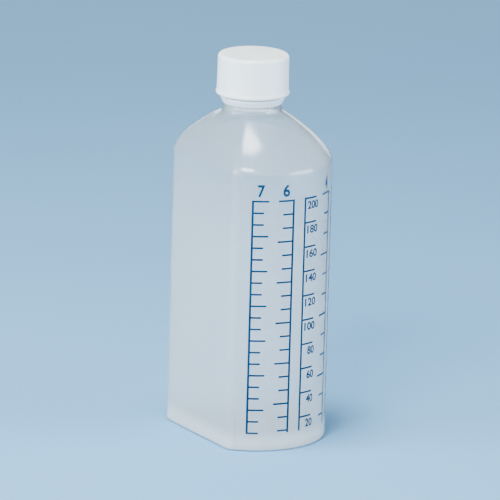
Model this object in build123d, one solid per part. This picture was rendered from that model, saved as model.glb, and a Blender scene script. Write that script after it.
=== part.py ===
from build123d import *
import math
import os

# Graduated 200 ml dose bottle with a screw cap and a sealing disc.
#
# Frame: +Z up, the foot on Z = 0, the neck's axis on Z through the origin.
# The rounded front faces -Y and the narrow flat back faces +Y. Millimetres.

# Body outline: a round front, two flat sides that close in towards the back, and a narrow flat back.
FRONT_RADIUS = 28.4
FRONT_CENTRE_Y = -3.2
SIDE_DISTANCE = 21.15  # from the front arc's centre to each flat side
SIDE_NORMAL = 117.0  # degrees from -Y to the side's outward normal
BACK_Y = 32.5
FRONT_CORNER = 4.7
BACK_CORNER = 4.6

# Heights and walls of the bottle.
WALL = 0.9
FLOOR_Z = 1.9
HEEL_RADIUS = 1.3
RECESS_INSET = 4.5
RECESS_DEPTH = 0.8
BODY_TOP = 107.7
NECK_BOTTOM = 126.6
SHOULDER_POWER = 1.55  # how late the shoulder turns in towards the neck
SHOULDER_TUCK = 0.3  # how far the shoulder runs on inside the neck's wall
LIP_TOP = 145.95
NECK_RADIUS = 11.2
BORE_RADIUS = 9.7
NECK_ROOT = (BODY_TOP + NECK_BOTTOM) / 2  # the neck and its bore start inside the shoulder
LIP_ROUND = 0.4

# Bead under the cap: a tapered underside and a flat top.
BEAD_RADIUS = 12.3
BEAD_BITE = 1.0  # how far the bead is sunk into the neck's wall
BEAD_FOOT = 129.2
BEAD_FULL = 131.5
BEAD_TOP = 132.3

# Single-start right-hand thread.
PITCH = 3.2
TURNS = 1.5
RIDGE_ROOT = 1.3
RIDGE_CREST = 0.8
RIDGE_BITE = 0.2  # how far a ridge's foot is sunk into its wall
NECK_RIDGE_HEIGHT = 0.9
CAP_RIDGE_HEIGHT = 0.9
NECK_RIDGE_Z = 136.4
CAP_RIDGE_Z = NECK_RIDGE_Z - PITCH / 2

# Cap.
CAP_BOTTOM = 133.1
CAP_TOP = 148.5
CAP_LIP_RADIUS = 14.0
CAP_LIP_HEIGHT = 1.0
CAP_FLARE_HEIGHT = 0.6
CAP_SKIRT_RADIUS = 13.65
CAP_TOP_RADIUS = 13.5
CAP_ROUND = 1.4
CAP_BORE = 12.45
CAP_CEILING = 147.1

# Sealing disc.
LINER_RADIUS = 12.2
LINER_BOTTOM = 146.0
LINER_TOP = 147.0

# Printed dose scales: name, degrees round the front from -Y, divisions, which way the marks run,
# and how many marks make one long one.
INK = 0.08
SCALES = {
    "seven_dose_scale": (-59.7, 21, 1, 3),
    "six_dose_scale": (-27.3, 18, -1, 3),
    "millilitre_scale": (-16.5, 10, 1, 1),
    "four_dose_scale": (16.5, 12, -1, 3),
    "five_dose_scale": (27.3, 15, 1, 3),
    "three_dose_scale": (59.7, 9, -1, 3),
}
SCALE_TOP = 98.0
SCALE_SPAN = 95.2  # from the full mark down to empty
LINE_BOTTOM = 7.1
LINE_WIDTH = 0.8
MARK_STROKE = 0.68
LONG_MARK = 6.2
SHORT_MARK = 4.3

# Shoulder levels, as shares of its height, and the points that each level's edges are drawn through.
SHOULDER_STEPS = (0.0, 0.06, 0.16, 0.3, 0.46, 0.64, 0.82, 1.0)
SAMPLE_LENGTH = 3.0
LEAST_SAMPLES = 6


def save(shape, name):
    shape.label = name
    export_step(shape, f"parts/{name}.step")


def around(radius, degrees, centre_y=0.0):
    """A point at a radius and an angle, counted from -Y towards +X."""
    turn = math.radians(degrees)
    return (radius * math.sin(turn), centre_y - radius * math.cos(turn))


def outline_edges(inset, z=0.0):
    """The body's outline drawn in by inset, as eight edges at height z, from the front anticlockwise."""
    front = FRONT_RADIUS - inset
    side = SIDE_DISTANCE - inset
    back = BACK_Y - inset
    small_front = FRONT_CORNER - inset
    small_back = BACK_CORNER - inset
    normal = math.radians(SIDE_NORMAL)
    out_x, out_y = math.sin(normal), -math.cos(normal)

    # Front corner: its round touches the arc from inside and the flat side.
    corner_turn = math.acos((side - small_front) / (front - small_front))
    corner_angle = SIDE_NORMAL - math.degrees(corner_turn)
    centre = around(front - small_front, corner_angle, FRONT_CENTRE_Y)
    arc_end = around(front, corner_angle, FRONT_CENTRE_Y)
    corner_mid = around(small_front, (corner_angle + SIDE_NORMAL) / 2)
    corner_mid = (centre[0] + corner_mid[0], centre[1] + corner_mid[1])
    side_start = (centre[0] + small_front * out_x, centre[1] + small_front * out_y)

    # Back corner: its round touches the flat side and the flat back.
    round_y = back - small_back
    round_x = (side - small_back - out_y * (round_y - FRONT_CENTRE_Y)) / out_x
    side_end = (round_x + small_back * out_x, round_y + small_back * out_y)
    back_mid = around(small_back, (SIDE_NORMAL + 180.0) / 2)
    back_mid = (round_x + back_mid[0], round_y + back_mid[1])
    back_end = (round_x, back)

    right = [
        [arc_end, corner_mid, side_start],
        [side_start, side_end],
        [side_end, back_mid, back_end],
    ]
    left = [[(-x, y) for x, y in reversed(points)] for points in reversed(right)]
    nose = [left[-1][-1], (0.0, FRONT_CENTRE_Y - front), arc_end]
    flat_back = [back_end, left[0][0]]
    edges = []
    for points in [nose, *right, flat_back, *left]:
        lifted = [(x, y, z) for x, y in points]
        edges.append(Line(*lifted) if len(lifted) == 2 else ThreePointArc(*lifted))
    return edges


def outline_face(inset, z=0.0):
    return make_face(Wire(outline_edges(inset, z)))


def shoulder_face(inset, neck_radius, step):
    """One level of the shoulder: each point of the outline drawn in along its own radius."""
    keep = 1.0 - step**SHOULDER_POWER
    z = BODY_TOP + (NECK_BOTTOM + SHOULDER_TUCK - BODY_TOP) * step
    if step == 0.0:
        return outline_face(inset, z)
    edges = []
    for edge in outline_edges(inset):
        samples = max(LEAST_SAMPLES, round(edge.length / SAMPLE_LENGTH))
        points = []
        for sample in range(samples + 1):
            point = edge @ (sample / samples)
            reach = math.hypot(point.X, point.Y)
            end_radius = neck_radius - SHOULDER_TUCK
            scale = (end_radius + (reach - end_radius) * keep) / reach
            points.append((point.X * scale, point.Y * scale, z))
        edges.append(Spline(*points))
    return make_face(Wire(edges))


def shoulder(inset, neck_radius):
    return loft([shoulder_face(inset, neck_radius, step) for step in SHOULDER_STEPS])


def shaft(radius, bottom, top):
    up = (Align.CENTER, Align.CENTER, Align.MIN)
    return Pos(0, 0, bottom) * Cylinder(radius, top - bottom, align=up)


def turned(points):
    """A solid of revolution from its half outline in radius and height."""
    return revolve(Plane.XZ * make_face(Polyline(*points, close=True)), Axis.Z)


def ridge(wall_radius, height, start_z, outward):
    """A helical thread ridge standing on a wall, outwards on the neck and inwards in the cap."""
    foot = wall_radius - outward * RIDGE_BITE
    crest = wall_radius + outward * height
    corners = [
        (foot, 0, -RIDGE_ROOT / 2),
        (crest, 0, -RIDGE_CREST / 2),
        (crest, 0, RIDGE_CREST / 2),
        (foot, 0, RIDGE_ROOT / 2),
    ]
    profile = make_face(Polyline(*corners, close=True))
    path = Helix(PITCH, PITCH * TURNS, wall_radius)
    return Pos(0, 0, start_z) * sweep(profile, path=path, is_frenet=True)


def make_bottle():
    """Blow-moulded body: one hollow wall with shoulder, bead, threaded neck and a recessed foot."""
    body = extrude(outline_face(0), BODY_TOP)
    body = fillet(body.edges().group_by(Axis.Z)[0], HEEL_RADIUS)
    cavity = extrude(outline_face(WALL, FLOOR_Z), BODY_TOP - FLOOR_Z)
    cavity = fillet(cavity.edges().group_by(Axis.Z)[0], HEEL_RADIUS - WALL)
    recess = extrude(outline_face(RECESS_INSET), RECESS_DEPTH)
    neck = shaft(NECK_RADIUS, NECK_ROOT, LIP_TOP)
    neck = fillet(neck.edges().group_by(Axis.Z)[-1], LIP_ROUND)
    inside = NECK_RADIUS - BEAD_BITE
    bead = turned(
        [
            (inside, BEAD_FOOT),
            (NECK_RADIUS, BEAD_FOOT),
            (BEAD_RADIUS, BEAD_FULL),
            (BEAD_RADIUS, BEAD_TOP),
            (inside, BEAD_TOP),
        ]
    )
    outer = body + shoulder(0, NECK_RADIUS) + neck + bead
    inner = cavity + shoulder(WALL, BORE_RADIUS) + shaft(BORE_RADIUS, NECK_ROOT, LIP_TOP)
    return outer - inner - recess + ridge(NECK_RADIUS, NECK_RIDGE_HEIGHT, NECK_RIDGE_Z, 1)


def make_cap():
    """Moulded screw cap: smooth skirt with a slightly flared lip, rounded top edge, thread inside."""
    flare_z = CAP_BOTTOM + CAP_LIP_HEIGHT
    shell = turned(
        [
            (0, CAP_BOTTOM),
            (CAP_LIP_RADIUS, CAP_BOTTOM),
            (CAP_LIP_RADIUS, flare_z),
            (CAP_SKIRT_RADIUS, flare_z + CAP_FLARE_HEIGHT),
            (CAP_TOP_RADIUS, CAP_TOP),
            (0, CAP_TOP),
        ]
    )
    shell = fillet(shell.edges().group_by(Axis.Z)[-1], CAP_ROUND)
    shell -= shaft(CAP_BORE, CAP_BOTTOM, CAP_CEILING)
    return shell + ridge(CAP_BORE, CAP_RIDGE_HEIGHT, CAP_RIDGE_Z, -1)


def ink_patch(start, end, bottom, top):
    """A thin patch on the round front, between two angles in degrees and two heights."""
    outside = FRONT_RADIUS + INK
    middle = (start + end) / 2

    def at(radius, angle):
        return around(radius, angle, FRONT_CENTRE_Y)

    rim = Wire(
        [
            ThreePointArc(at(FRONT_RADIUS, start), at(FRONT_RADIUS, middle), at(FRONT_RADIUS, end)),
            Line(at(FRONT_RADIUS, end), at(outside, end)),
            ThreePointArc(at(outside, end), at(outside, middle), at(outside, start)),
            Line(at(outside, start), at(FRONT_RADIUS, start)),
        ]
    )
    return Pos(0, 0, bottom) * extrude(make_face(rim), top - bottom, dir=(0, 0, 1))


def make_scale(angle, divisions, way, group):
    """One printed scale: an upright line with its marks running to one side of it."""

    def degrees(length):
        return math.degrees(length / FRONT_RADIUS)

    half_line = degrees(LINE_WIDTH) / 2
    scale = ink_patch(angle - half_line, angle + half_line, LINE_BOTTOM, SCALE_TOP + MARK_STROKE / 2)
    for mark in range(divisions):
        z = SCALE_TOP - mark * SCALE_SPAN / divisions
        reach = way * degrees(SHORT_MARK if mark % group else LONG_MARK)
        start, end = sorted((angle, angle + reach))
        scale += ink_patch(start, end, z - MARK_STROKE / 2, z + MARK_STROKE / 2)
    return scale


os.makedirs("parts", exist_ok=True)
save(make_bottle(), "bottle")
save(make_cap(), "screw_cap")
save(shaft(LINER_RADIUS, LINER_BOTTOM, LINER_TOP), "cap_liner")
for name, layout in SCALES.items():
    save(make_scale(*layout), name)
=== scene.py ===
import math

import bmesh
import bpy
from mathutils import Matrix, Vector


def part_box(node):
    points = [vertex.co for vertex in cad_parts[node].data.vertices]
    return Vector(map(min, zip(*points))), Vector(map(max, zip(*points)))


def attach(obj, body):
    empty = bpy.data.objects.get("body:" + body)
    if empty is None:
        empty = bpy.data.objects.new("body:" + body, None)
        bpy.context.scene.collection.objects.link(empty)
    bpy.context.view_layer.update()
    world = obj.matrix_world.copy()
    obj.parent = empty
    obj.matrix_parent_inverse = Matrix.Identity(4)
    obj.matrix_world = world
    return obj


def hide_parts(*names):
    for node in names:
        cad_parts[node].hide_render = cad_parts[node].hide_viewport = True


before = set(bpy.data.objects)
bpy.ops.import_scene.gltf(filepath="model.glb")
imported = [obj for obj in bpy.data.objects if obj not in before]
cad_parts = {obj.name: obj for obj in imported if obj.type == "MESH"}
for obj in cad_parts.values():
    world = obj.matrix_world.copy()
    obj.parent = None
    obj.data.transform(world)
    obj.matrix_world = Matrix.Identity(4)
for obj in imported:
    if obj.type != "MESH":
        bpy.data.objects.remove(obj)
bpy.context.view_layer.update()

# ---------------------------------------------------------------------------------------
# Bottle. One blow-moulded piece of natural polypropylene, milky and see-through, with a
# round front, two flat sides, a narrow flat back and a recessed foot. The two halves of
# the mould leave a fine raised line up each side of the front.
# ---------------------------------------------------------------------------------------
mm = 0.001
bottle_low, bottle_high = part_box("bottle")
back_y = bottle_high.y / mm
lip_z = bottle_high.z / mm
front_radius = 28.4
front_centre_y = bottle_low.y / mm + front_radius
side_distance = 21.15  # from the front arc's centre to each flat side
side_normal = 117.0  # degrees from -Y
front_corner = 4.7
back_corner = 4.6
wall = 0.9
floor_z = 1.9
heel = 1.3
recess_inset = 4.5
recess_depth = 0.8
body_top = 107.7
neck_bottom = 126.6
shoulder_power = 1.55
neck_radius = 11.2
bore_radius = 9.7
bead_radius = 12.3
bead_foot, bead_full, bead_top = 129.2, 131.5, 132.3
mould_line = 0.985  # how far round the front from its middle to its corner
mould_line_half_width = 0.35  # degrees
mould_line_height = 0.09
side_hollow = 0.3  # how far each flat side has shrunk in at its middle
smallest_round = 0.3
front_steps, corner_steps, side_steps, short_steps = 28, 8, 30, 3
sharp_degrees = 50


def around(radius, degrees, centre_x=0.0, centre_y=0.0):
    turn = math.radians(degrees)
    return (centre_x + radius * math.sin(turn), centre_y - radius * math.cos(turn))


def spread(start, end, steps):
    """Even values from start up to, but without, the end."""
    return [start + (end - start) * step / steps for step in range(steps)]


def arc(radius, start, end, steps, centre_x, centre_y):
    """Points round an arc from start up to, but without, the end, in degrees."""
    return [around(radius, turn, centre_x, centre_y) for turn in spread(start, end, steps)]


def outline(inset, ridge=0.0, hollow=0.0):
    """The body's outline in from its full size, as points from the front round to the front."""
    front = front_radius - inset
    side = side_distance - inset
    small_front = max(front_corner - inset, smallest_round)
    small_back = max(back_corner - inset, smallest_round)
    out_x, out_y = around(1.0, side_normal)
    corner_angle = side_normal - math.degrees(math.acos((side - small_front) / (front - small_front)))
    centre_x, centre_y = around(front - small_front, corner_angle, 0.0, front_centre_y)
    round_y = back_y - inset - small_back
    round_x = (side - small_back - out_y * (round_y - front_centre_y)) / out_x

    seam = corner_angle * mould_line
    seam_start, seam_end = seam - mould_line_half_width, seam + mould_line_half_width
    half = arc(front, 0.0, seam_start, front_steps, 0.0, front_centre_y)
    half.append(around(front, seam_start, 0.0, front_centre_y))
    half.append(around(front + ridge, seam, 0.0, front_centre_y))
    half += arc(front, seam_end, corner_angle, short_steps, 0.0, front_centre_y)
    half += arc(small_front, corner_angle, side_normal, corner_steps, centre_x, centre_y)
    for along in spread(0.0, 1.0, side_steps):
        x = centre_x + (round_x - centre_x) * along
        y = centre_y + (round_y - centre_y) * along
        reach = small_front + (small_back - small_front) * along - hollow * math.sin(math.pi * along) ** 2
        half.append((x + out_x * reach, y + out_y * reach))
    half += arc(small_back, side_normal, 180.0, corner_steps, round_x, round_y)
    half += [(x, back_y - inset) for x in spread(round_x, 0.0, short_steps)]
    half.append((0.0, back_y - inset))
    return half + [(-x, y) for x, y in reversed(half[1:-1])]


directions = [(x / math.hypot(x, y), y / math.hypot(x, y)) for x, y in outline(0.0)]


def plan_ring(inset, z, ridge=0.0, hollow=0.0):
    return [(x, y, z) for x, y in outline(inset, ridge, hollow)]


def round_ring(radius, z):
    return [(x * radius, y * radius, z) for x, y in directions]


def shoulder_ring(step, inset, end_radius, ridge=0.0):
    """A level of the shoulder: every point of the outline drawn in along its own radius."""
    keep = 1.0 - step**shoulder_power
    z = body_top + (neck_bottom - body_top) * step
    ring = []
    for x, y in outline(inset, ridge):
        reach = math.hypot(x, y)
        scale = (end_radius + (reach - end_radius) * keep) / reach
        ring.append((x * scale, y * scale, z))
    return ring


def blended_rings(start, corner, end, steps):
    """Rings along the curve that rounds the corner between two rings."""
    rings = []
    for step in range(1, steps):
        t = step / steps
        weights = ((1 - t) ** 2, 2 * t * (1 - t), t * t)
        rings.append([
            tuple(sum(w * p[axis] for w, p in zip(weights, points)) for axis in range(3))
            for points in zip(start, corner, end)
        ])
    return rings


def smooth_steps(count, power):
    """Shares from just above 0 up to 1, closer together at the start."""
    return [(step / count) ** power for step in range(1, count + 1)]


def skin(name, rings, start_z, end_z):
    """A closed surface through rings of equal count, given in millimetres, capped on the axis."""
    mesh = bpy.data.meshes.new(name)
    work = bmesh.new()
    rows = [[work.verts.new(Vector(point) * mm) for point in ring] for ring in rings]
    count = len(rows[0])
    for lower, upper in zip(rows, rows[1:]):
        for i in range(count):
            j = (i + 1) % count
            work.faces.new((lower[i], lower[j], upper[j], upper[i]))
    for row, z in ((rows[0], start_z), (rows[-1], end_z)):
        centre = work.verts.new((0.0, 0.0, z * mm))
        for i in range(count):
            work.faces.new((centre, row[i], row[(i + 1) % count]))
    bmesh.ops.recalc_face_normals(work, faces=work.faces)
    work.to_mesh(mesh)
    work.free()
    mesh.shade_smooth()
    mesh.set_sharp_from_angle(angle=math.radians(sharp_degrees))
    piece = bpy.data.objects.new(name, mesh)
    bpy.context.scene.collection.objects.link(piece)
    return piece


def heel_rings(radius, inset, z, steps, ridge=0.0):
    """The round between a flat foot or floor and the upright wall, from the foot up."""
    made = []
    for turn in spread(0.0, 90.0, steps):
        lean = math.radians(turn)
        in_by, up_by = radius * (1 - math.sin(lean)), radius * (1 - math.cos(lean))
        made.append(plan_ring(inset + in_by, z + up_by, ridge * turn / 90))
    return made


# The outside: the recess with its soft edges, the foot, the heel, the wall and the shoulder.
flat_insets = (15.0, 10.0)
rings = [plan_ring(inset, recess_depth) for inset in (*flat_insets, recess_inset + 1.0)]
rings += [plan_ring(recess_inset + 0.4, recess_depth * 0.85), plan_ring(recess_inset, recess_depth * 0.4)]
rings += [plan_ring(recess_inset - 0.4, 0.06), plan_ring(recess_inset - 0.9, 0.0), plan_ring(heel + 0.3, 0.0)]
rings += heel_rings(heel, 0.0, 0.0, 8, mould_line_height)
wall_rows, wall_fullness = 26, 0.7
for row in range(wall_rows + 1):
    height = row / wall_rows
    hollow = side_hollow * math.sin(math.pi * height) ** wall_fullness if 0 < row < wall_rows else 0.0
    rings.append(plan_ring(0.0, heel + (body_top - heel) * height, mould_line_height, hollow))
shoulder_rows, shoulder_crowding, shoulder_end = 22, 1.3, 0.94
for step in smooth_steps(shoulder_rows, shoulder_crowding):
    rings.append(shoulder_ring(step * shoulder_end, 0.0, neck_radius, mould_line_height))

# The neck, with every corner eased, from its rounded root over the bead and the lip to the bore.
root_top = neck_bottom + 1.2
root_ring, root_top_ring = round_ring(neck_radius, neck_bottom), round_ring(neck_radius, root_top)
rings += blended_rings(rings[-1], root_ring, root_top_ring, 6)
neck_outline = [
    (neck_radius, root_top), (neck_radius, bead_foot - 0.3), (neck_radius + 0.06, bead_foot),
    (bead_radius - 0.2, bead_full - 0.35), (bead_radius - 0.04, bead_full - 0.05),
    (bead_radius, bead_full + 0.2), (bead_radius, bead_top - 0.25),
    (bead_radius - 0.08, bead_top - 0.07), (bead_radius - 0.25, bead_top),
    (neck_radius + 0.3, bead_top), (neck_radius + 0.08, bead_top + 0.08), (neck_radius, bead_top + 0.3),
    (neck_radius, lip_z - 0.4), (neck_radius - 0.12, lip_z - 0.12), (neck_radius - 0.4, lip_z),
    (bore_radius + 0.3, lip_z), (bore_radius + 0.08, lip_z - 0.08), (bore_radius, lip_z - 0.3),
    (bore_radius, neck_bottom + 1.0),
]
rings += [round_ring(radius, z) for radius, z in neck_outline]

# The inside, from the bore down to the floor.
inner_rows, inner_end = 16, 0.96
for step in reversed([0.0, *smooth_steps(inner_rows, shoulder_crowding)]):
    rings.append(shoulder_ring(step * inner_end, wall, bore_radius))
rings += [plan_ring(wall, z) for z in reversed(spread(floor_z + heel, body_top, 10))]
rings += reversed(heel_rings(heel - wall, wall, floor_z, 6))
rings += [plan_ring(inset, floor_z) for inset in (6.0, *reversed(flat_insets))]
bottle = skin("bottle_wall", rings, start_z=recess_depth, end_z=floor_z)


def make_material(name, color, roughness):
    material = bpy.data.materials.new(name)
    material.use_nodes = True
    shader = material.node_tree.nodes["Principled BSDF"]
    shader.inputs["Base Color"].default_value = (*color, 1.0)
    shader.inputs["Roughness"].default_value = roughness
    return material, shader


def grain(material, scale, detail=3.0, stretch=(1.0, 1.0, 1.0)):
    """A noise pattern fixed to the piece."""
    nodes, links = material.node_tree.nodes, material.node_tree.links
    place = nodes.new("ShaderNodeTexCoord")
    mapping = nodes.new("ShaderNodeMapping")
    mapping.inputs["Scale"].default_value = stretch
    noise = nodes.new("ShaderNodeTexNoise")
    noise.inputs["Scale"].default_value = scale
    noise.inputs["Detail"].default_value = detail
    links.new(place.outputs["Object"], mapping.inputs["Vector"])
    links.new(mapping.outputs["Vector"], noise.inputs["Vector"])
    return noise.outputs["Fac"]


pattern_low, pattern_high = 0.3, 0.7  # the part of a noise pattern's range that is used


def between(material, pattern, low, high, socket):
    """Lets a pattern carry a shader's number from low to high."""
    nodes, links = material.node_tree.nodes, material.node_tree.links
    span = nodes.new("ShaderNodeMapRange")
    span.inputs["From Min"].default_value = pattern_low
    span.inputs["From Max"].default_value = pattern_high
    span.inputs["To Min"].default_value = low
    span.inputs["To Max"].default_value = high
    links.new(pattern, span.inputs["Value"])
    links.new(span.outputs["Result"], socket)


def tinted(material, pattern, low, high, socket):
    """Lets a pattern carry a shader's colour from low to high."""
    nodes, links = material.node_tree.nodes, material.node_tree.links
    ramp = nodes.new("ShaderNodeValToRGB")
    ramp.color_ramp.elements[0].position = pattern_low
    ramp.color_ramp.elements[1].position = pattern_high
    ramp.color_ramp.elements[0].color = (*low, 1.0)
    ramp.color_ramp.elements[1].color = (*high, 1.0)
    links.new(pattern, ramp.inputs["Fac"])
    links.new(ramp.outputs["Color"], socket)


def raised(material, shader, pattern, distance, strength):
    """Lets a pattern stand up from the surface by a distance in metres."""
    nodes, links = material.node_tree.nodes, material.node_tree.links
    bump = nodes.new("ShaderNodeBump")
    bump.inputs["Strength"].default_value = strength
    bump.inputs["Distance"].default_value = distance
    links.new(pattern, bump.inputs["Height"])
    links.new(bump.outputs["Normal"], shader.inputs["Normal"])


milky, milky_shader = make_material("natural_polypropylene", (0.95, 0.975, 0.985), 0.2)
milky_shader.inputs["IOR"].default_value = 1.49
blown = grain(milky, 120.0, 2.0, stretch=(1.0, 1.0, 0.35))
cloud = grain(milky, 30.0, 2.0, stretch=(1.0, 1.0, 0.3))
between(milky, cloud, 0.17, 0.23, milky_shader.inputs["Roughness"])
tinted(milky, cloud, (0.9, 0.955, 0.98), (0.93, 0.97, 0.988), milky_shader.inputs["Base Color"])
raised(milky, milky_shader, blown, 0.00004, 0.2)
milky_shader.inputs["Subsurface Weight"].default_value = 0.8
milky_shader.inputs["Subsurface Radius"].default_value = (2 * mm, 2 * mm, 2 * mm)


def clarity_by_height(material, shader, heights, clarities):
    """Thick plastic is milkier: the foot and the bead let less light through than the blown wall."""
    nodes, links = material.node_tree.nodes, material.node_tree.links
    place = nodes.new("ShaderNodeTexCoord")
    split = nodes.new("ShaderNodeSeparateXYZ")
    level = nodes.new("ShaderNodeMapRange")
    ramp = nodes.new("ShaderNodeValToRGB")
    level.inputs["From Max"].default_value = lip_z * mm
    ramp.color_ramp.interpolation = "EASE"
    for height, clarity in zip(heights, clarities):
        stop = ramp.color_ramp.elements.new(height / lip_z)
        stop.color = (clarity, clarity, clarity, 1.0)
    ramp.color_ramp.elements.remove(ramp.color_ramp.elements[-1])
    ramp.color_ramp.elements[0].color = (*[clarities[0]] * 3, 1.0)
    links.new(place.outputs["Object"], split.inputs["Vector"])
    links.new(split.outputs["Z"], level.inputs["Value"])
    links.new(level.outputs["Result"], ramp.inputs["Fac"])
    links.new(ramp.outputs["Color"], shader.inputs["Transmission Weight"])


clear_foot, clear_wall, clear_neck, clear_bead = 0.5, 0.72, 0.88, 0.15
clear_heights = [floor_z, floor_z + 7.0, body_top * 0.6, bead_foot, bead_foot + 0.8]
clear_shares = [clear_foot, clear_wall, clear_wall, clear_neck, clear_bead]
clarity_by_height(milky, milky_shader, clear_heights, clear_shares)
bottle.data.materials.append(milky)
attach(bottle, "bottle")
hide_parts("bottle")

# ---------------------------------------------------------------------------------------
# Threads. A single right-hand ridge stands out of the neck, and its partner stands into
# the cap half a pitch below it. Both are moulded with their wall and fade out at each end.
# ---------------------------------------------------------------------------------------
pitch = 3.2
ridge_turns = 1.5
ridge_foot, ridge_crest = 1.3, 0.8
ridge_height = 0.9
ridge_bite = 0.2
ridge_steps, ridge_sharp_degrees = 160, 30
# A ridge reaches full height a fourteenth of its length in from each end, and is never quite flat.
fade_rate, least_height = 14.0, 0.02
neck_ridge_z = 136.4
cap_bore = 12.45


def new_tree(name, inputs):
    """A Geometry Nodes tree with named inputs and one geometry output."""
    tree = bpy.data.node_groups.new(name, "GeometryNodeTree")
    for label, kind in inputs:
        tree.interface.new_socket(label, in_out="INPUT", socket_type=kind)
    tree.interface.new_socket("Geometry", in_out="OUTPUT", socket_type="NodeSocketGeometry")
    return tree, tree.nodes.new("NodeGroupInput").outputs, tree.nodes.new("NodeGroupOutput")


def node(tree, kind, values=None, **settings):
    """A node with its settings, and its inputs filled by a value or by another node's output."""
    made = tree.nodes.new(kind)
    for name, value in settings.items():
        setattr(made, name, value)
    for key, value in (values or {}).items():
        if isinstance(value, bpy.types.NodeSocket):
            tree.links.new(value, made.inputs[key])
        else:
            made.inputs[key].default_value = value
    return made


def maths(tree, operation, a, b=0.0):
    return node(tree, "ShaderNodeMath", {0: a, 1: b}, operation=operation).outputs[0]


def finish_tree(tree, out, shape, material):
    """Ends a tree: real geometry in its material."""
    solid = node(tree, "GeometryNodeRealizeInstances", {0: shape})
    painted = node(tree, "GeometryNodeSetMaterial", {"Geometry": solid.outputs[0], "Material": material})
    tree.links.new(painted.outputs[0], out.inputs[0])


def grown(name, tree, values):
    """The tree's result as a plain mesh object."""
    piece = bpy.data.objects.new(name, bpy.data.meshes.new(name))
    bpy.context.scene.collection.objects.link(piece)
    growth = piece.modifiers.new("growth", "NODES")
    growth.node_group = tree
    for item in tree.interface.items_tree:
        if item.in_out == "INPUT":
            growth[item.identifier] = values[item.name]
    bpy.context.view_layer.update()
    result = bpy.data.meshes.new_from_object(piece.evaluated_get(bpy.context.evaluated_depsgraph_get()))
    piece.modifiers.remove(growth)
    piece.data = result
    return piece


def outward(piece):
    """Merges doubles and turns every face outwards."""
    work = bmesh.new()
    work.from_mesh(piece.data)
    bmesh.ops.remove_doubles(work, verts=work.verts, dist=1e-7)
    bmesh.ops.recalc_face_normals(work, faces=work.faces)
    work.to_mesh(piece.data)
    work.free()


def thread_tree():
    """A helical ridge: a strip bent round the axis, with a trapezoid section that fades at its ends."""
    tree, given, out = new_tree("thread_ridge", [
        ("Wall Radius", "NodeSocketFloat"), ("Height", "NodeSocketFloat"), ("Bite", "NodeSocketFloat"),
        ("Foot Width", "NodeSocketFloat"), ("Crest Width", "NodeSocketFloat"), ("Pitch", "NodeSocketFloat"),
        ("Turns", "NodeSocketFloat"), ("Start", "NodeSocketFloat"), ("Material", "NodeSocketMaterial"),
    ])
    # The strip's X runs from 0 to 1 along the helix, Y from 0 at the foot to 1 at the crest, Z across.
    strip = node(tree, "GeometryNodeMeshCube", {"Size": (1.0, 1.0, 1.0), "Vertices X": ridge_steps})
    place = node(tree, "GeometryNodeInputPosition").outputs[0]
    split = node(tree, "ShaderNodeSeparateXYZ", {0: place}).outputs
    along = maths(tree, "ADD", split[0], 0.5)
    rise = maths(tree, "ADD", split[1], 0.5)
    edge = maths(tree, "MINIMUM", along, maths(tree, "SUBTRACT", 1.0, along))
    fade = maths(tree, "MINIMUM", maths(tree, "MULTIPLY", edge, fade_rate), 1.0)
    fade = maths(tree, "MAXIMUM", fade, least_height)
    height = maths(tree, "MULTIPLY", maths(tree, "MULTIPLY", rise, fade), given["Height"])
    # The foot lies inside the wall by the bite, on the other side from the crest.
    way = maths(tree, "SIGN", given["Height"])
    depth = maths(tree, "MULTIPLY", maths(tree, "SUBTRACT", 1.0, rise), way)
    sunk = maths(tree, "MULTIPLY", depth, given["Bite"])
    radius = maths(tree, "SUBTRACT", maths(tree, "ADD", given["Wall Radius"], height), sunk)
    taper = maths(tree, "SUBTRACT", given["Foot Width"], given["Crest Width"])
    narrowing = maths(tree, "MULTIPLY", rise, taper)
    width = maths(tree, "SUBTRACT", given["Foot Width"], narrowing)
    turns_done = maths(tree, "MULTIPLY", along, given["Turns"])
    turn = maths(tree, "MULTIPLY", turns_done, 2 * math.pi)
    climb = maths(tree, "MULTIPLY", turns_done, given["Pitch"])
    x = maths(tree, "MULTIPLY", radius, maths(tree, "COSINE", turn))
    y = maths(tree, "MULTIPLY", radius, maths(tree, "SINE", turn))
    middle = maths(tree, "ADD", given["Start"], climb)
    z = maths(tree, "ADD", middle, maths(tree, "MULTIPLY", split[2], width))
    target = node(tree, "ShaderNodeCombineXYZ", {0: x, 1: y, 2: z}).outputs[0]
    bent = node(tree, "GeometryNodeSetPosition", {"Geometry": strip.outputs[0], "Position": target})
    finish_tree(tree, out, bent.outputs[0], given["Material"])
    return tree


def thread(name, wall_radius, height, start, material, body):
    """One ridge on its wall, riding on its body: outwards for a positive height, inwards for a negative one."""
    piece = grown(name, threads, {
        "Wall Radius": wall_radius * mm, "Height": height * mm, "Bite": ridge_bite * mm,
        "Foot Width": ridge_foot * mm, "Crest Width": ridge_crest * mm, "Pitch": pitch * mm,
        "Turns": ridge_turns, "Start": start * mm, "Material": material,
    })
    outward(piece)
    piece.data.shade_smooth()
    piece.data.set_sharp_from_angle(angle=math.radians(ridge_sharp_degrees))
    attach(piece, body)


threads = thread_tree()
thread("neck_thread", neck_radius, ridge_height, neck_ridge_z, milky, "bottle")

# ---------------------------------------------------------------------------------------
# Cap. Moulded in white polyethylene: a smooth skirt that widens a little to its lip, a
# rounded top edge and a nearly flat top. It screws down onto the neck's thread.
# ---------------------------------------------------------------------------------------
cap_low, cap_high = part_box("screw_cap")
cap_bottom = cap_low.z / mm
cap_top = cap_high.z / mm
cap_lip = cap_high.x / mm
cap_skirt = 13.65
cap_crown = 13.5
cap_round = 1.4
cap_crowning = 0.12
cap_ceiling = 147.1
lathe_steps = 144


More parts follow.
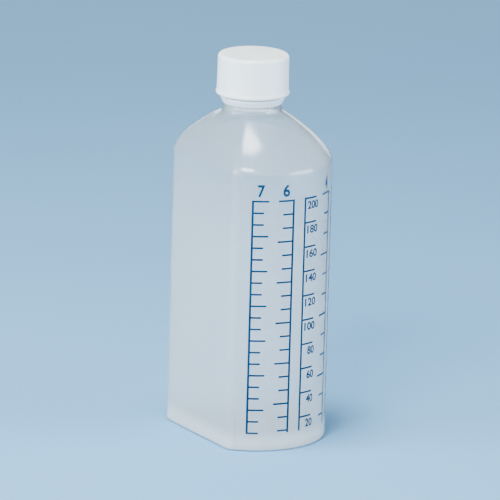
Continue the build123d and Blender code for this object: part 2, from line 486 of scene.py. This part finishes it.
def lathe_ring(radius, z):
    turns = [2 * math.pi * step / lathe_steps for step in range(lathe_steps)]
    return [(radius * math.cos(turn), radius * math.sin(turn), z) for turn in turns]


# The lip with its eased edges, the skirt, the round top edge and the slightly crowned top.
cap_outline = [
    (cap_bore + 0.25, cap_bottom), (cap_lip - 0.3, cap_bottom), (cap_lip - 0.08, cap_bottom + 0.08),
    (cap_lip, cap_bottom + 0.3), (cap_lip, cap_bottom + 0.8), (cap_lip - 0.05, cap_bottom + 1.05),
    (cap_skirt + 0.05, cap_bottom + 1.45), (cap_skirt, cap_bottom + 1.8),
]
for turn in [*spread(0.0, 90.0, 8), 90.0]:
    lean = math.radians(turn)
    radius = cap_crown - cap_round * (1 - math.cos(lean))
    cap_outline.append((radius, cap_top - cap_crowning - cap_round * (1 - math.sin(lean))))
cap_outline += [(9.0, cap_top - cap_crowning / 3), (5.0, cap_top), (1.0, cap_top)]
inside = [(1.0, cap_ceiling), (cap_bore - 0.5, cap_ceiling), (cap_bore - 0.1, cap_ceiling - 0.1)]
inside += [(cap_bore, cap_ceiling - 0.5), (cap_bore, cap_bottom + 0.25)]
outer_rings = [lathe_ring(radius, z) for radius, z in cap_outline]
inner_rings = [lathe_ring(radius, z) for radius, z in inside]
cap = skin("cap_shell", [*reversed(inner_rings), *outer_rings], start_z=cap_ceiling, end_z=cap_top)

white, white_shader = make_material("white_polyethylene", (0.86, 0.88, 0.88), 0.38)
white_shader.inputs["Subsurface Weight"].default_value = 0.25
white_shader.inputs["Subsurface Radius"].default_value = (1.5 * mm, 1.5 * mm, 1.5 * mm)
white_shader.inputs["IOR"].default_value = 1.5
satin = grain(white, 900.0)
handled = grain(white, 110.0)
between(white, handled, 0.33, 0.45, white_shader.inputs["Roughness"])
tinted(white, handled, (0.84, 0.86, 0.865), (0.89, 0.9, 0.895), white_shader.inputs["Base Color"])
raised(white, white_shader, satin, 0.00004, 0.3)
cap.data.materials.append(white)
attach(cap, "cap")
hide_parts("screw_cap")
thread("cap_thread", cap_bore, -ridge_height, neck_ridge_z - pitch / 2, white, "cap")

# ---------------------------------------------------------------------------------------
# Sealing disc. Punched from closed-cell foam and pressed up into the cap's ceiling. The
# bottle's lip has left a shallow ring in its underside.
# ---------------------------------------------------------------------------------------
liner_low, liner_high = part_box("cap_liner")
liner_bottom, liner_top = liner_low.z / mm, liner_high.z / mm
liner_radius = liner_high.x / mm
lip_middle = (bore_radius + neck_radius) / 2
dent = 0.06
edge_round = 0.15
liner_outline = [
    (lip_middle - 1.1, liner_bottom), (lip_middle - 0.6, liner_bottom + dent),
    (lip_middle + 0.4, liner_bottom + dent), (lip_middle + 0.9, liner_bottom),
    (liner_radius - edge_round, liner_bottom), (liner_radius, liner_bottom + edge_round),
    (liner_radius, liner_top - edge_round), (liner_radius - edge_round, liner_top), (2.0, liner_top),
]
liner_rings = [lathe_ring(radius, z) for radius, z in liner_outline]
liner = skin("sealing_disc", liner_rings, start_z=liner_bottom, end_z=liner_top)
foam, foam_shader = make_material("closed_cell_foam", (0.85, 0.85, 0.82), 0.7)
cells = grain(foam, 2600.0, 1.0)
tinted(foam, cells, (0.78, 0.78, 0.75), (0.88, 0.88, 0.86), foam_shader.inputs["Base Color"])
raised(foam, foam_shader, cells, 0.00008, 0.5)
liner.data.materials.append(foam)
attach(liner, "cap_liner")
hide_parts("cap_liner")

# ---------------------------------------------------------------------------------------
# Printed dose scales. Dark blue ink screened onto the round front: each scale is an upright
# line with evenly spaced marks, a figure above it for its number of days, and in the middle
# a millilitre scale with a figure under every mark.
# ---------------------------------------------------------------------------------------
scale_top = 98.0
scale_span = 95.2
line_bottom = 7.1
line_width = 0.8
mark_stroke = 0.68
long_mark, short_mark = 6.2, 4.3
ink_gap, ink_thickness = 0.012, 0.04
day_figure, day_width, day_lift = 4.8, 2.784, 1.6
stroke_swell = 0.026  # the figures are cut bolder than the drawn letter by this share of its size
cut_spacing, cut_shift = 0.5, 0.037
weld = 1e-4  # as a share of the drawn letter's size
mark_cuts = 10

ink, ink_shader = make_material("dark_blue_ink", (0.002, 0.03, 0.09), 0.5)
squeegee = grain(ink, 700.0, stretch=(1.0, 1.0, 0.5))
tinted(ink, squeegee, (0.001, 0.022, 0.065), (0.003, 0.04, 0.105), ink_shader.inputs["Base Color"])
between(ink, squeegee, 0.4, 0.6, ink_shader.inputs["Roughness"])
ink_shader.inputs["Specular IOR Level"].default_value = 0.1


def marks_tree():
    """An upright line and its marks, laid out flat and then bent round the bottle's front."""
    tree, given, out = new_tree("scale_marks", [
        ("Divisions", "NodeSocketInt"), ("Long Every", "NodeSocketInt"), ("Side", "NodeSocketFloat"),
        ("Top", "NodeSocketFloat"), ("Span", "NodeSocketFloat"), ("Line Bottom", "NodeSocketFloat"),
        ("Line Width", "NodeSocketFloat"), ("Stroke", "NodeSocketFloat"), ("Short", "NodeSocketFloat"),
        ("Long", "NodeSocketFloat"), ("Gap", "NodeSocketFloat"), ("Thickness", "NodeSocketFloat"),
        ("Front Radius", "NodeSocketFloat"), ("Centre Y", "NodeSocketFloat"), ("Angle", "NodeSocketFloat"),
        ("Material", "NodeSocketMaterial"),
    ])
    half_ink = maths(tree, "MULTIPLY", given["Thickness"], 0.5)
    middle_ink = maths(tree, "ADD", given["Gap"], half_ink)
    step = maths(tree, "DIVIDE", given["Span"], given["Divisions"])
    down = node(tree, "ShaderNodeCombineXYZ", {2: maths(tree, "MULTIPLY", step, -1.0)}).outputs[0]
    start = node(tree, "ShaderNodeCombineXYZ", {1: middle_ink, 2: given["Top"]}).outputs[0]
    row_values = {"Count": given["Divisions"], "Start Location": start, "Offset": down}
    row = node(tree, "GeometryNodeMeshLine", row_values)
    index = node(tree, "GeometryNodeInputIndex").outputs[0]
    place_in_group = maths(tree, "MODULO", index, given["Long Every"])
    is_short = maths(tree, "MINIMUM", place_in_group, 1.0)
    saved = maths(tree, "MULTIPLY", is_short, maths(tree, "SUBTRACT", given["Long"], given["Short"]))
    length = maths(tree, "SUBTRACT", given["Long"], saved)
    sizes = {0: length, 1: given["Thickness"], 2: given["Stroke"]}
    size = node(tree, "ShaderNodeCombineXYZ", sizes).outputs[0]
    block = node(tree, "GeometryNodeMeshCube", {"Size": (1.0, 1.0, 1.0), "Vertices X": mark_cuts})
    lean = node(tree, "ShaderNodeCombineXYZ", {0: maths(tree, "MULTIPLY", given["Side"], 0.5)}).outputs[0]
    offset = node(tree, "GeometryNodeTransform", {"Geometry": block.outputs[0], "Translation": lean})
    marks = node(tree, "GeometryNodeInstanceOnPoints",
                 {"Points": row.outputs[0], "Instance": offset.outputs[0], "Scale": size})
    top_end = maths(tree, "ADD", given["Top"], maths(tree, "MULTIPLY", given["Stroke"], 0.5))
    tall = maths(tree, "SUBTRACT", top_end, given["Line Bottom"])
    mid_z = maths(tree, "SUBTRACT", top_end, maths(tree, "MULTIPLY", tall, 0.5))
    line_sizes = {0: given["Line Width"], 1: given["Thickness"], 2: tall}
    line_size = node(tree, "ShaderNodeCombineXYZ", line_sizes).outputs[0]
    line_place = node(tree, "ShaderNodeCombineXYZ", {1: middle_ink, 2: mid_z}).outputs[0]
    line = node(tree, "GeometryNodeTransform",
                {"Geometry": block.outputs[0], "Translation": line_place, "Scale": line_size})
    real = node(tree, "GeometryNodeRealizeInstances", {0: marks.outputs[0]})
    both = tree.nodes.new("GeometryNodeJoinGeometry")
    tree.links.new(real.outputs[0], both.inputs[0])
    tree.links.new(line.outputs[0], both.inputs[0])
    flat = node(tree, "GeometryNodeInputPosition").outputs[0]
    split = node(tree, "ShaderNodeSeparateXYZ", {0: flat}).outputs
    angle = maths(tree, "ADD", given["Angle"], maths(tree, "DIVIDE", split[0], given["Front Radius"]))
    reach = maths(tree, "ADD", given["Front Radius"], split[1])
    x = maths(tree, "MULTIPLY", reach, maths(tree, "SINE", angle))
    y = maths(tree, "SUBTRACT", given["Centre Y"], maths(tree, "MULTIPLY", reach, maths(tree, "COSINE", angle)))
    target = node(tree, "ShaderNodeCombineXYZ", {0: x, 1: y, 2: split[2]}).outputs[0]
    bent = node(tree, "GeometryNodeSetPosition", {"Geometry": both.outputs[0], "Position": target})
    finish_tree(tree, out, bent.outputs[0], given["Material"])
    return tree


def figure(text, height, width, angle, along, bottom):
    """Figures as a thin mesh bent round the front, centred at a distance along it from the angle."""
    curve = bpy.data.curves.new("figure", "FONT")
    curve.body = text
    curve.extrude = 0.5
    curve.offset = stroke_swell
    curve.resolution_u = 5
    carrier = bpy.data.objects.new("figure", curve)
    bpy.context.scene.collection.objects.link(carrier)
    bpy.context.view_layer.update()
    mesh = bpy.data.meshes.new_from_object(carrier.evaluated_get(bpy.context.evaluated_depsgraph_get()))
    bpy.data.objects.remove(carrier)
    bpy.data.curves.remove(curve)
    work = bmesh.new()
    work.from_mesh(mesh)
    bmesh.ops.remove_doubles(work, verts=work.verts, dist=weld)
    bmesh.ops.dissolve_degenerate(work, dist=weld, edges=work.edges)
    xs = [vert.co.x for vert in work.verts]
    ys = [vert.co.y for vert in work.verts]
    for vert in work.verts:
        x = ((vert.co.x - min(xs)) / (max(xs) - min(xs)) - 0.5) * width + along
        z = (vert.co.y - min(ys)) / (max(ys) - min(ys)) * height + bottom
        depth = ink_gap + ink_thickness * (0.5 + vert.co.z)
        vert.co = (x, depth, z)
    # Cuts let the faces bend round the front. They stand a little off the even places.
    cuts = max(2, round(width / cut_spacing))
    for cut in spread(along - width / 2, along + width / 2, cuts)[1:]:
        cut += cut_shift
        everything = work.verts[:] + work.edges[:] + work.faces[:]
        bmesh.ops.bisect_plane(work, geom=everything, plane_co=(cut, 0, 0), plane_no=(1, 0, 0))
    for vert in work.verts:
        degrees = angle + math.degrees(vert.co.x / front_radius)
        x, y = around(front_radius + vert.co.y, degrees, 0.0, front_centre_y)
        vert.co = Vector((x, y, vert.co.z)) * mm
    bmesh.ops.triangulate(work, faces=work.faces)
    bmesh.ops.recalc_face_normals(work, faces=work.faces)
    work.to_mesh(mesh)
    work.free()
    return mesh


def print_scale(name, angle, divisions, side, group, figures):
    """One scale: its line and marks, and its figures, as a single piece of ink."""
    piece = grown(name.replace("_scale", "_print"), scale_marks, {
        "Divisions": divisions, "Long Every": group, "Side": float(side), "Top": scale_top * mm,
        "Span": scale_span * mm, "Line Bottom": line_bottom * mm, "Line Width": line_width * mm,
        "Stroke": mark_stroke * mm, "Short": short_mark * mm, "Long": long_mark * mm, "Gap": ink_gap * mm,
        "Thickness": ink_thickness * mm, "Front Radius": front_radius * mm, "Centre Y": front_centre_y * mm,
        "Angle": math.radians(angle), "Material": ink,
    })
    outward(piece)
    work = bmesh.new()
    work.from_mesh(piece.data)
    for mesh in figures:
        work.from_mesh(mesh)
        bpy.data.meshes.remove(mesh)
    for face in work.faces:
        face.material_index = 0
    work.to_mesh(piece.data)
    work.free()
    piece.data.materials.clear()
    piece.data.materials.append(ink)
    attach(piece, "bottle")
    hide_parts(name)


scale_marks = marks_tree()
# The scale, its angle from the front's middle, its divisions, which side the marks run to, and its days.
dose_group = 3
dose_scales = [
    ("seven_dose_scale", -59.7, 21, 1, "7"),
    ("six_dose_scale", -27.3, 18, -1, "6"),
    ("four_dose_scale", 16.5, 12, -1, "4"),
    ("five_dose_scale", 27.3, 15, 1, "5"),
    ("three_dose_scale", 59.7, 9, -1, "3"),
]
for name, angle, divisions, side, days in dose_scales:
    numeral = figure(days, day_figure, day_width, angle, side * long_mark / 2, scale_top + day_lift)
    print_scale(name, angle, divisions, side, dose_group, [numeral])

# The millilitre figures hang under their marks, with their last digits in line.
full_ml = 200
ml_angle = -16.5
ml_steps = 10
ml_figure, ml_gap = 3.2, 0.5
digit_width, digits = 1.95, len(str(full_ml))
ml_numerals = []
for mark in range(ml_steps):
    value = str(full_ml - mark * full_ml // ml_steps)
    width = digit_width * len(value)
    middle = line_width + ml_gap + digit_width * digits - width / 2
    bottom = scale_top - mark * scale_span / ml_steps - mark_stroke - ml_gap - ml_figure
    ml_numerals.append(figure(value, ml_figure, width, ml_angle, middle, bottom))
print_scale("millilitre_scale", ml_angle, ml_steps, 1, 1, ml_numerals)

# ---------------------------------------------------------------------------------------
# Moulded marks. A ladder of small raised bars on the narrow back, cut into the mould, of the
# same plastic as the wall. They mark even steps over the height of the printed scales.
# ---------------------------------------------------------------------------------------
moulded_steps = 16
bar_width, bar_height, bar_proud, bar_bite = 3.6, 0.5, 0.18, 0.3


def ladder_tree():
    """Rounded bars stacked evenly down a flat face."""
    tree, given, out = new_tree("moulded_ladder", [
        ("Steps", "NodeSocketInt"), ("Top", "NodeSocketFloat"), ("Span", "NodeSocketFloat"),
        ("Face Y", "NodeSocketFloat"), ("Width", "NodeSocketFloat"), ("Height", "NodeSocketFloat"),
        ("Depth", "NodeSocketFloat"), ("Material", "NodeSocketMaterial"),
    ])
    step = maths(tree, "DIVIDE", given["Span"], given["Steps"])
    down = node(tree, "ShaderNodeCombineXYZ", {2: maths(tree, "MULTIPLY", step, -1.0)}).outputs[0]
    start = node(tree, "ShaderNodeCombineXYZ", {1: given["Face Y"], 2: given["Top"]}).outputs[0]
    row_values = {"Count": given["Steps"], "Start Location": start, "Offset": down}
    row = node(tree, "GeometryNodeMeshLine", row_values)
    sizes = {0: given["Width"], 1: given["Depth"], 2: given["Height"]}
    size = node(tree, "ShaderNodeCombineXYZ", sizes).outputs[0]
    ball = node(tree, "GeometryNodeMeshUVSphere", {"Segments": 24, "Rings": 12, "Radius": 0.5})
    bars = node(tree, "GeometryNodeInstanceOnPoints",
                {"Points": row.outputs[0], "Instance": ball.outputs[0], "Scale": size})
    finish_tree(tree, out, bars.outputs[0], given["Material"])
    return tree


ladder = grown("moulded_marks", ladder_tree(), {
    "Steps": moulded_steps, "Top": scale_top * mm, "Span": scale_span * mm,
    "Face Y": (back_y + bar_proud - bar_bite) * mm, "Width": bar_width * mm, "Height": bar_height * mm,
    "Depth": 2 * bar_bite * mm, "Material": milky,
})
outward(ladder)
ladder.data.shade_smooth()
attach(ladder, "bottle")

# ---------------------------------------------------------------------------------------
# Floor, light and camera. A plain pale floor, a soft light from above and a low one at the
# left front, and wide washes from both sides and from behind that show the plastic is milky.
# ---------------------------------------------------------------------------------------
floor_mesh = bpy.data.meshes.new("floor")
reach = 6.0
floor_corners = [(-reach, -reach, 0), (reach, -reach, 0), (reach, reach, 0), (-reach, reach, 0)]
floor_mesh.from_pydata(floor_corners, [], [(0, 1, 2, 3)])
floor = bpy.data.objects.new("floor", floor_mesh)
bpy.context.scene.collection.objects.link(floor)
paper, paper_shader = make_material("pale_paper", (0.16, 0.39, 0.63), 0.8)
tinted(paper, grain(paper, 3.0), (0.15, 0.38, 0.62), (0.17, 0.4, 0.64), paper_shader.inputs["Base Color"])
floor_mesh.materials.append(paper)

target = Vector((0.0, 0.0, 0.0714))


def facing(position, aim):
    return (aim - position).to_track_quat("-Z", "Y").to_matrix().to_4x4()


def orbit(azimuth, elevation, distance):
    """A place on a sphere round the middle of the bottle, with azimuth counted from -Y."""
    turn, lift = math.radians(azimuth), math.radians(elevation)
    flat = math.cos(lift)
    return target + distance * Vector((math.sin(turn) * flat, -math.cos(turn) * flat, math.sin(lift)))


def soft_light(name, azimuth, elevation, distance, width, height, power, color):
    """A rectangular light on a sphere round the bottle, facing it: degrees, metres and watts."""
    light = bpy.data.lights.new(name, "AREA")
    light.shape = "RECTANGLE"
    light.size, light.size_y = width, height
    light.energy = power
    light.color = color
    lamp = bpy.data.objects.new(name, light)
    bpy.context.scene.collection.objects.link(lamp)
    position = orbit(azimuth, elevation, distance)
    lamp.matrix_world = Matrix.Translation(position) @ facing(position, target)


soft_light("key", -96.0, 80.0, 0.9, 0.3, 0.3, 14.0, (0.88, 0.95, 1.0))
soft_light("low_key", -77.0, 36.0, 1.0, 0.4, 0.14, 13.0, (0.95, 0.98, 1.0))
soft_light("left_wash", -120.0, 12.0, 1.2, 0.9, 0.5, 26.0, (0.8, 0.92, 1.0))
soft_light("right_wash", 15.0, 8.0, 1.2, 0.9, 0.5, 24.0, (0.8, 0.92, 1.0))
soft_light("back", 123.0, 5.0, 1.3, 1.2, 0.3, 4.0, (0.8, 0.92, 1.0))

world = bpy.data.worlds.new("studio")
bpy.context.scene.world = world
world.use_nodes = True
background = world.node_tree.nodes["Background"]
background.inputs["Color"].default_value = (0.62, 0.82, 1.0, 1.0)
background.inputs["Strength"].default_value = 0.22

lens = bpy.data.cameras.new("camera")
lens.sensor_width = 36.0
lens.lens = 572.9
lens.clip_end = 20.0
camera = bpy.data.objects.new("camera", lens)
bpy.context.scene.collection.objects.link(camera)
view_azimuth, view_elevation, view_distance, view_roll = -56.95, 14.36, 3.033, 1.61
view_side_step = 0.00068  # the camera stands this far to the right of the bottle's axis
seat = orbit(view_azimuth, view_elevation, view_distance)
look = facing(seat, target) @ Matrix.Rotation(math.radians(view_roll), 4, "Z")
right = Vector((math.cos(math.radians(view_azimuth)), math.sin(math.radians(view_azimuth)), 0.0))
camera.matrix_world = Matrix.Translation(seat + right * view_side_step) @ look
bpy.context.scene.camera = camera
